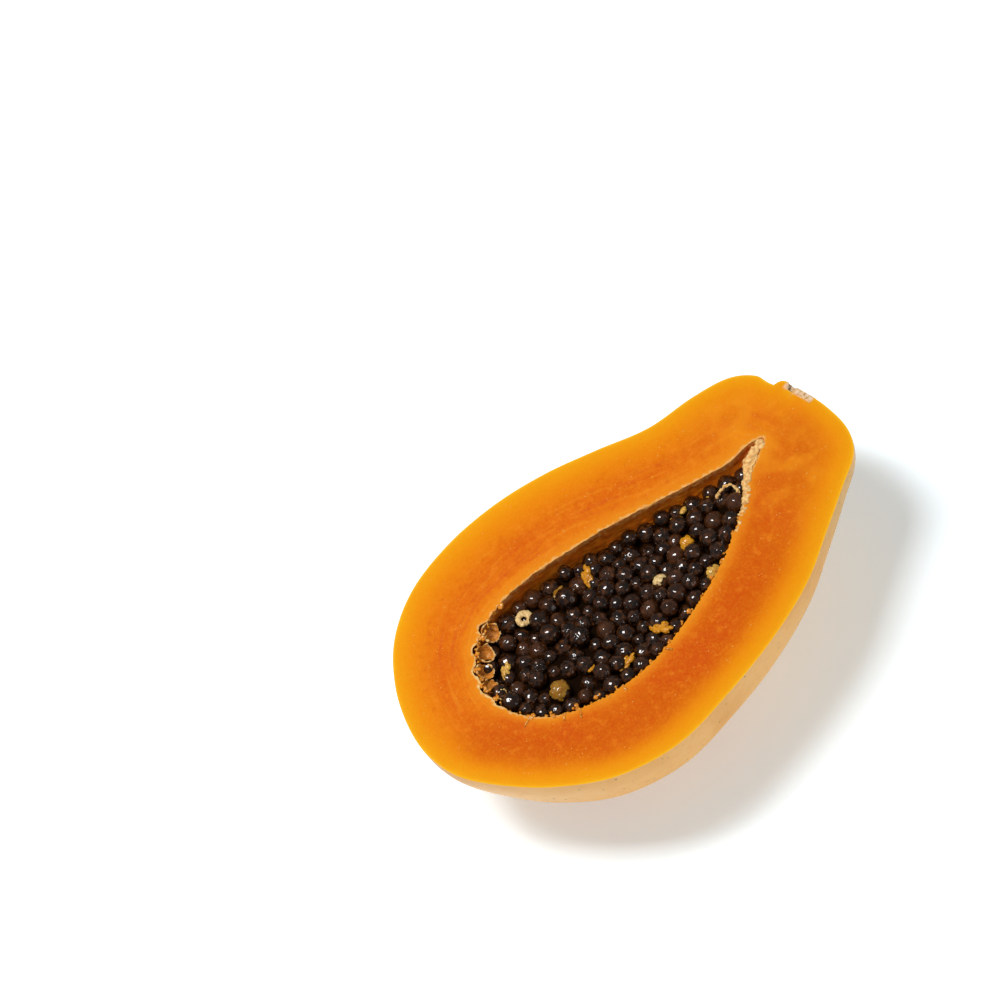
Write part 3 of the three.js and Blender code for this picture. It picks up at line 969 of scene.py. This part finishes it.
class Finish:
    def __init__(self, name):
        self.material = bpy.data.materials.get(name) or bpy.data.materials.new(name)
        self.material.use_nodes = True
        self.nodes = self.material.node_tree.nodes
        self.links = self.material.node_tree.links
        self.nodes.clear()
        spot = self.node("TexCoord", {}, {}, "Object")
        self.spot = self.node("VectorMath", {"operation": "SCALE"}, {0: spot, "Scale": 1 / MM})
        self.parts = self.node("SeparateXYZ", {}, {0: self.spot}, None)

    def node(self, kind, settings=None, inputs=None, output=0):
        made = self.nodes.new("ShaderNode" + kind)
        for key, value in (settings or {}).items():
            if key == "stops":
                ramp = made.color_ramp
                while len(ramp.elements) < len(value):
                    ramp.elements.new(1)
                for stop, (place, tint) in zip(ramp.elements, value):
                    stop.position, stop.color = place, tint
            else:
                setattr(made, key, value)
        for key, value in (inputs or {}).items():
            if isinstance(value, Shade):
                self.links.new(value.socket, made.inputs[key])
            else:
                made.inputs[key].default_value = value
        return made if output is None else Shade(self, made.outputs[output])

    def axis(self, letter):
        return Shade(self, self.parts.outputs[letter])

    def mark(self, name):
        return self.node("Attribute", {"attribute_name": name}, {}, "Fac")

    def noise(self, size, detail=3.0, rough=0.5, at=None):
        """Noise of 0 to 1 with lumps of about the given size in mm."""
        settings = {"Vector": at or self.spot, "Scale": 1 / size, "Detail": detail, "Roughness": rough}
        return self.node("TexNoise", {}, settings)

    def cells(self, size, feature="F1"):
        """Distance from the middles of scattered cells of about the given size in mm."""
        return self.node(
            "TexVoronoi", {"feature": feature}, {"Vector": self.spot, "Scale": 1 / size}, "Distance",
        )

    def ramp(self, value, *stops):
        """A colour for each value, from stops of place, red, green and blue."""
        coloured = [(place, colour(*tint)) for place, *tint in stops]
        return self.node("ValToRGB", {"stops": coloured}, {0: value})

    def mix(self, share, under, over):
        return self.node("Mix", {"data_type": "RGBA"}, {0: share, 6: under, 7: over}, 2)

    def paint(self, share, *over):
        """Lays a colour over the tint so far."""
        self.tint = self.mix(share, self.tint, colour(*over))

    def at(self, x, y, z):
        return self.node("CombineXYZ", {}, {0: x, 1: y, 2: z})

    def bump(self, height, depth):
        return self.node("Bump", {}, {"Strength": 1.0, "Distance": depth * MM, "Height": height})

    def done(self, **sockets):
        values = {name.replace("_", " "): value for name, value in sockets.items()}
        shader = self.node("BsdfPrincipled", {}, values)
        self.node("OutputMaterial", {}, {"Surface": shader}, None)
        return self.material


# %% [markdown]
# The cut flesh is wet and slightly see-through. Its colour runs from a yellow line under the skin
# through orange to redder flesh, and back to yellow-orange at the cavity. Redder patches and faint
# streaks along the outline and small clouds break the bands up, and fine pale dots are painted
# highlights for its wet glints. It shines only softly. Near the stem the cut runs through the dry scar.

# %% Cut flesh
def dry_bark(f):
    """Lays torn dry fibres over the tint where it is dry. Gives how dry it is, and their relief."""
    fibres = f.noise(0.8, 4, 0.7)
    bark = f.ramp(fibres, (0.3, 166, 112, 62), (0.48, 222, 182, 136), (0.66, 242, 222, 196))
    bark = f.mix(f.mark("pit") * 0.92, bark, colour(30, 14, 4))
    dry = f.mark("dry")
    f.tint = f.mix(dry, f.tint, bark)
    return dry, fibres * dry


def finish_cut_flesh():
    f = Finish("cut_flesh")
    wobble = f.noise(9, 3) - 0.5
    skin_gap = f.mark("from_skin") + wobble * 2.0 + (f.noise(2.2, 2) - 0.5) * 0.5
    cavity_gap = f.mark("from_cavity") + wobble * 2
    share = skin_gap / (skin_gap + cavity_gap)
    left_side = f.axis("Y").ease(-10, 8)
    f.tint = f.ramp(
        share, (0, 238, 168, 14), (0.07, 234, 152, 6), (0.22, 230, 135, 3), (0.42, 223, 117, 3),
        (0.62, 215, 100, 4), (0.84, 223, 117, 8), (1, 229, 139, 26),
    )
    deep = share.ease(0.15, 0.5) * share.ease(1.02, 0.8)
    f.paint((1 - left_side) * deep * 0.65, 197, 77, 0)
    patches = f.noise(24, 2, 0.4).ease(0.46, 0.64) * deep * (1 - left_side * 0.75)
    f.paint(patches * 0.6, 204, 78, 6)
    streak_place = f.at(f.axis("X") / 18, f.axis("Y") / 18, skin_gap / 1.2)
    streaks = f.noise(1, 2, 0.6, streak_place)
    redder = streaks.ease(0.53, 0.66) * share.ease(0.4, 0.62) * share.ease(0.96, 0.8) * left_side
    f.paint(redder * 0.45, 207, 84, 24)
    paler = streaks.ease(0.46, 0.3) * share.ease(0.3, 0.55) * left_side
    f.paint(paler * 0.3, 236, 146, 36)
    grain = f.noise(0.7, 4, 0.65)
    f.paint(grain.ease(0.4, 0.75) * 0.25, 240, 154, 34)
    f.paint(grain.ease(0.45, 0.2) * 0.2, 196, 86, 2)
    clouds = f.noise(2.6, 4, 0.65)
    f.paint(clouds.ease(0.52, 0.68) * deep * 0.35, 238, 138, 30)
    f.paint(clouds.ease(0.46, 0.32) * deep * 0.35, 200, 78, 6)
    neck = f.axis("X").ease(26, 58) * share.ease(0.1, 0.4)
    blotches = f.noise(7, 2, 0.4).ease(0.45, 0.7)
    f.paint(neck * (0.2 + blotches * 0.35), 238, 150, 24)
    rim = f.mark("from_skin").ease(0.7, 0.15)
    f.paint(rim * 0.6, 246, 186, 40)
    lining = (f.mark("from_cavity") + (f.noise(1.4, 3) - 0.5) * 2.6).ease(0.75, 0.15)
    lined = f.axis("Y").ease(-14, 4) * 0.6 + f.axis("X").ease(-36, -46) * 0.4
    f.paint(lining * lined, 234, 188, 120)
    dry, bark = dry_bark(f)
    # Painted highlights: small pale dots in the colour stand for wet glints on the cut.
    painted_glints = f.cells(1.7).ease(0.16, 0.08) * f.noise(4, 2).ease(0.45, 0.62) * share.ease(0.02, 0.15)
    f.paint(painted_glints * (1 - dry) * 0.5, 252, 190, 96)
    height = grain * 0.6 + f.noise(0.28, 3) * 0.2 + painted_glints * 0.6 + streaks * 0.3 + bark * 2
    return f.done(
        Base_Color=f.tint,
        Roughness=0.56 + grain * 0.1 + dry * 0.2,
        IOR=1.38,
        Specular_IOR_Level=0.08,
        Subsurface_Weight=0.15,
        Subsurface_Radius=(1.0, 0.35, 0.08),
        Subsurface_Scale=3.0 * MM,
        Normal=f.bump(height, 0.12),
    )


# %% [markdown]
# The skin is thin and waxy. It is yellow-orange, with a green cast left near the stem and small dark
# specks. On the right side near the cut, which faces the camera, it is painted paler and more peach:
# painted light. It has a soft, even shine.

# %% Skin
def finish_skin():
    f = Finish("skin")
    broad, middling = f.noise(34, 3, 0.5), f.noise(8, 4, 0.55)
    f.tint = f.ramp(
        broad * 0.85 + middling * 0.15,
        (0.3, 218, 134, 8), (0.45, 229, 150, 10), (0.55, 236, 162, 18), (0.72, 240, 172, 44),
    )
    right_side = f.axis("Y").ease(4, -18)
    # Painted light: the skin on the right side near the cut, which faces the camera, is painted paler and
    # more peach.
    painted_light_edge = f.axis("Z").ease(10, 42) * right_side * (0.45 + 0.55 * broad.ease(0.35, 0.6))
    f.paint(painted_light_edge * 0.85, 252, 188, 108)
    green = (f.axis("X") + (broad - 0.5) * 70).ease(20, 78) * (0.5 + 0.5 * middling.ease(0.3, 0.65))
    f.paint(green * 0.4, 166, 134, 14)
    mottle = f.noise(2.6, 4, 0.6).ease(0.5, 0.7)
    f.paint(mottle * 0.12, 212, 122, 20)
    scattered = f.noise(12, 2).ease(0.44, 0.56)
    specks = f.cells(3.4).ease(0.15, 0.07) * scattered
    fine_specks = f.cells(1.5).ease(0.17, 0.08) * f.noise(9, 2, 0.5).ease(0.5, 0.6)
    dots = specks.maths("MAXIMUM", specks, fine_specks * 0.6)
    f.paint(dots * 0.75, 112, 88, 24)
    dry, bark = dry_bark(f)
    pores = f.noise(0.45, 2) * 0.12 + middling * 0.5 - dots * 0.3
    return f.done(
        Base_Color=f.tint,
        Roughness=0.42 + mottle * 0.06 + dry * 0.35,
        IOR=1.42,
        Specular_IOR_Level=0.25,
        Coat_Weight=0.12 - dry * 0.12,
        Coat_Roughness=0.22,
        Subsurface_Weight=0.06,
        Subsurface_Radius=(1.0, 0.4, 0.1),
        Subsurface_Scale=2.0 * MM,
        Normal=f.bump(pores + bark * 1.6, 0.16),
    )


# %% [markdown]
# The cavity's wall is orange inner flesh with threads running along it. A pale ragged lining lies
# just under the rim on the left, and round the hollows that the cups left.

# %% Cavity wall
CUT_HEIGHT = 47.4


def finish_cavity_wall():
    f = Finish("cavity_wall")
    depth = CUT_HEIGHT - f.axis("Z")
    threads = f.noise(1, 3, 0.6, f.at(f.axis("X") / 7, f.axis("Y") / 2, f.axis("Z") / 0.8))
    f.tint = f.ramp(threads, (0.3, 186, 84, 6), (0.5, 218, 108, 10), (0.72, 240, 146, 36))
    rags = f.noise(1.3, 4, 0.6)
    pale = (depth + (rags - 0.5) * 7).ease(2.4, 0.3) * f.axis("Y").ease(-14, 4)
    f.paint(pale * 0.75, 236, 178, 100)
    cup = f.mark("cupped")
    edges = cup.ease(0.02, 0.2) * cup.ease(0.95, 0.4)
    f.paint(edges * 0.5, 232, 186, 116)
    f.paint(cup.ease(0.7, 1.0) * 0.5, 176, 88, 18)
    return f.done(
        Base_Color=f.tint,
        Roughness=0.45 + rags * 0.2,
        IOR=1.38,
        Specular_IOR_Level=0.3,
        Subsurface_Weight=0.2,
        Subsurface_Radius=(1.0, 0.35, 0.08),
        Subsurface_Scale=3.0 * MM,
        Normal=f.bump(threads * 0.6 + rags * 0.6, 0.3),
    )


# %% [markdown]
# A seed is nearly black, under a clear wet bag that shows brown where it is thick. The coat is that
# wet bag, and it alone shines. The bed between the seeds is dull, and painted darker as the shade in
# the gaps between the seeds.

# %% Seeds
def finish_seed():
    f = Finish("wet_seed")
    tone = f.mark("seed_tone")
    painted_shade_bed = tone.ease(-0.1, -0.6)
    cloud = f.noise(1.4, 3, 0.55)
    f.tint = f.ramp(cloud, (0.34, 12, 4, 1), (0.5, 36, 16, 4), (0.68, 84, 46, 18))
    f.paint(tone.ease(0.66, 0.95) * 0.35, 92, 50, 22)
    # The bed is painted near black: painted shade in the gaps between the seeds.
    f.paint(painted_shade_bed, 20, 8, 1)
    wrinkles = f.cells(0.75, "SMOOTH_F1") * 0.5 + f.noise(0.4, 3) * 0.5
    return f.done(
        Base_Color=f.tint,
        Roughness=0.45 + painted_shade_bed * 0.5,
        IOR=1.4,
        Specular_IOR_Level=0.08,
        Coat_Weight=1 - painted_shade_bed,
        Coat_Roughness=0.05,
        Coat_IOR=1.5,
        Normal=f.bump(wrinkles, 0.3),
    )


# %% [markdown]
# Pale seeds, cups, strand and torn pulp are the same soft pulp, from cream to gold. The strand is
# dry and crumbly, so it gets deeper grain and less shine, and what is wet gets a clear coat.

# %% Pulp
def finish_pulp(name, tint_of, grain_depth, roughness, wet):
    """Crumbly or wet pulp. Its colour is a function of the finish and of its crumbs."""
    f = Finish(name)
    crumbs = f.noise(0.9, 4, 0.65)
    hollows = f.cells(0.8, "SMOOTH_F1")
    f.tint = tint_of(f, crumbs)
    f.paint(hollows.ease(0.35, 0.62) * 0.4, 140, 74, 16)
    return f.done(
        Base_Color=f.tint,
        Roughness=roughness + crumbs * 0.15,
        IOR=1.4,
        Specular_IOR_Level=0.3,
        Coat_Weight=crumbs.ease(0.4, 0.6) * wet,
        Coat_Roughness=0.12,
        Subsurface_Weight=0.25,
        Subsurface_Radius=(1.0, 0.55, 0.2),
        Subsurface_Scale=1.2 * MM,
        Normal=f.bump(crumbs + hollows * 0.5, grain_depth),
    )


def pale_seed_tint(f, crumbs):
    tone = f.mark("seed_tone") + (crumbs - 0.5) * 0.25
    creamy = (CREAM, 232, 196, 134), (STRAW, 220, 172, 74)
    return f.ramp(tone, *creamy, (GOLD, 212, 142, 18), (OLIVE, 146, 104, 26))


def strand_tint(f, crumbs):
    return f.ramp(crumbs, (0.3, 222, 148, 64), (0.58, 248, 206, 138))


def cup_tint(f, crumbs):
    edge = (f.mark("in_cup") + (crumbs - 0.5) * 0.4).ease(0.3, 0.05)
    inside = f.mix(crumbs, colour(166, 84, 12), colour(232, 156, 56))
    return f.mix(edge * 0.9, inside, colour(244, 200, 132))


def torn_tint(f, crumbs):
    return f.ramp(crumbs, (0.3, 204, 108, 8), (0.5, 224, 140, 26), (0.7, 236, 178, 84))


finish_cut_flesh()
finish_skin()
finish_cavity_wall()
PIECE_FINISHES = (
    (black_seeds, finish_seed()),
    (pale_seeds, finish_pulp("soft_pale_seed", pale_seed_tint, 0.14, 0.3, 0.8)),
    (strand, finish_pulp("crumbly_strand", strand_tint, 0.25, 0.55, 0)),
    (empty_cups, finish_pulp("cup_lining", cup_tint, 0.12, 0.4, 0.25)),
    (torn_pulp, finish_pulp("torn_pulp", torn_tint, 0.2, 0.38, 0.6)),
)
for piece, finish in PIECE_FINISHES:
    piece.data.materials.clear()
    piece.data.materials.append(finish)
print("finishes:", len(PIECE_FINISHES) + len(FLESH_FINISHES))

# %% [markdown]
# The light is a soft box up and to the left in the picture, small enough for bright glints on the
# wet seeds, and a weak one from the right fills in. The fruit lies on a light table: a white floor
# that glows a little, which keeps the shadow pale and lights the skin from below. It is a cool
# white, because the orange fruit warms the shadow.

# %% Floor and light
FLOOR_SIZE = 6
FLOOR_GLOW = 0.37
SKY_STRENGTH = 0.21
BOX_DISTANCE = 1.2
select_none()
bpy.ops.mesh.primitive_plane_add(size=FLOOR_SIZE, location=(0, 0, cad_low.z))
floor = bpy.context.object
floor.name = "floor"
paper = Finish("pale_floor")
WHITE = colour(238, 249, 255)
lit_white = paper.done(
    Base_Color=WHITE, Roughness=0.9, Emission_Color=WHITE, Emission_Strength=FLOOR_GLOW,
)
floor.data.materials.append(lit_white)


def soft_box(name, towards, width, height, power):
    data = bpy.data.lights.new(name, "AREA")
    data.shape = "RECTANGLE"
    data.size, data.size_y = width, height
    data.energy = power
    light = bpy.data.objects.new(name, data)
    bpy.context.collection.objects.link(light)
    direction = towards.normalized()
    light.location = Vector((0, 0, fruit_high.z)) + direction * BOX_DISTANCE
    light.rotation_euler = direction.to_track_quat("Z", "Y").to_euler()


soft_box("key", -picture_right * 0.52 + picture_up * 0.42 + towards_camera * 0.745, 0.3, 0.5, 13.4)
soft_box("fill", picture_right * 0.9 - picture_up * 0.2 + towards_camera * 0.8, 0.5, 0.5, 1.0)
world = bpy.data.worlds.new("studio")
bpy.context.scene.world = world
world.use_nodes = True
sky = world.node_tree.nodes["Background"].inputs
sky["Color"].default_value = (1, 1, 1, 1)
sky["Strength"].default_value = SKY_STRENGTH
bpy.context.scene.view_settings.view_transform = "Standard"

# %% Sizes
print("packed in mm:", [round(v / MM, 1) for v in cad_high - cad_low])
